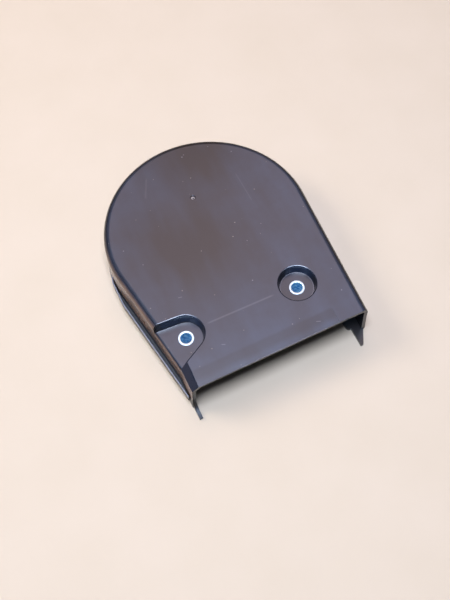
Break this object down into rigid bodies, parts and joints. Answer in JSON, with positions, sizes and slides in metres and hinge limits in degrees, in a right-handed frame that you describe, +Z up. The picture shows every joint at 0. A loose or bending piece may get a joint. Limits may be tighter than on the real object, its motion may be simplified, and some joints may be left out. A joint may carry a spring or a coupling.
{
  "type": "timing belt cover",
  "caption": "Arched moulded plastic cover for the top of a timing belt, open at one end, with recessed bolt seats, pressed-in steel sleeves and a thin grooved lip along one side.",
  "frame": {"origin": "middle of the bounding box, on the plane of the resting rim", "axes": "+Z up, out of the cover's outer face; +Y from the open front towards the arch; +X to the right"},
  "size_m": [0.1232, 0.1564, 0.0274],
  "materials": {
    "moulded_plastic": "satin injection moulded, dark brown-black",
    "zinc_steel": "bright blue zinc plate"
  },
  "bodies": {
    "root": {"cover": "moulded_plastic", "left_sleeve": "zinc_steel", "right_sleeve": "zinc_steel"}
  },
  "joints": []
}
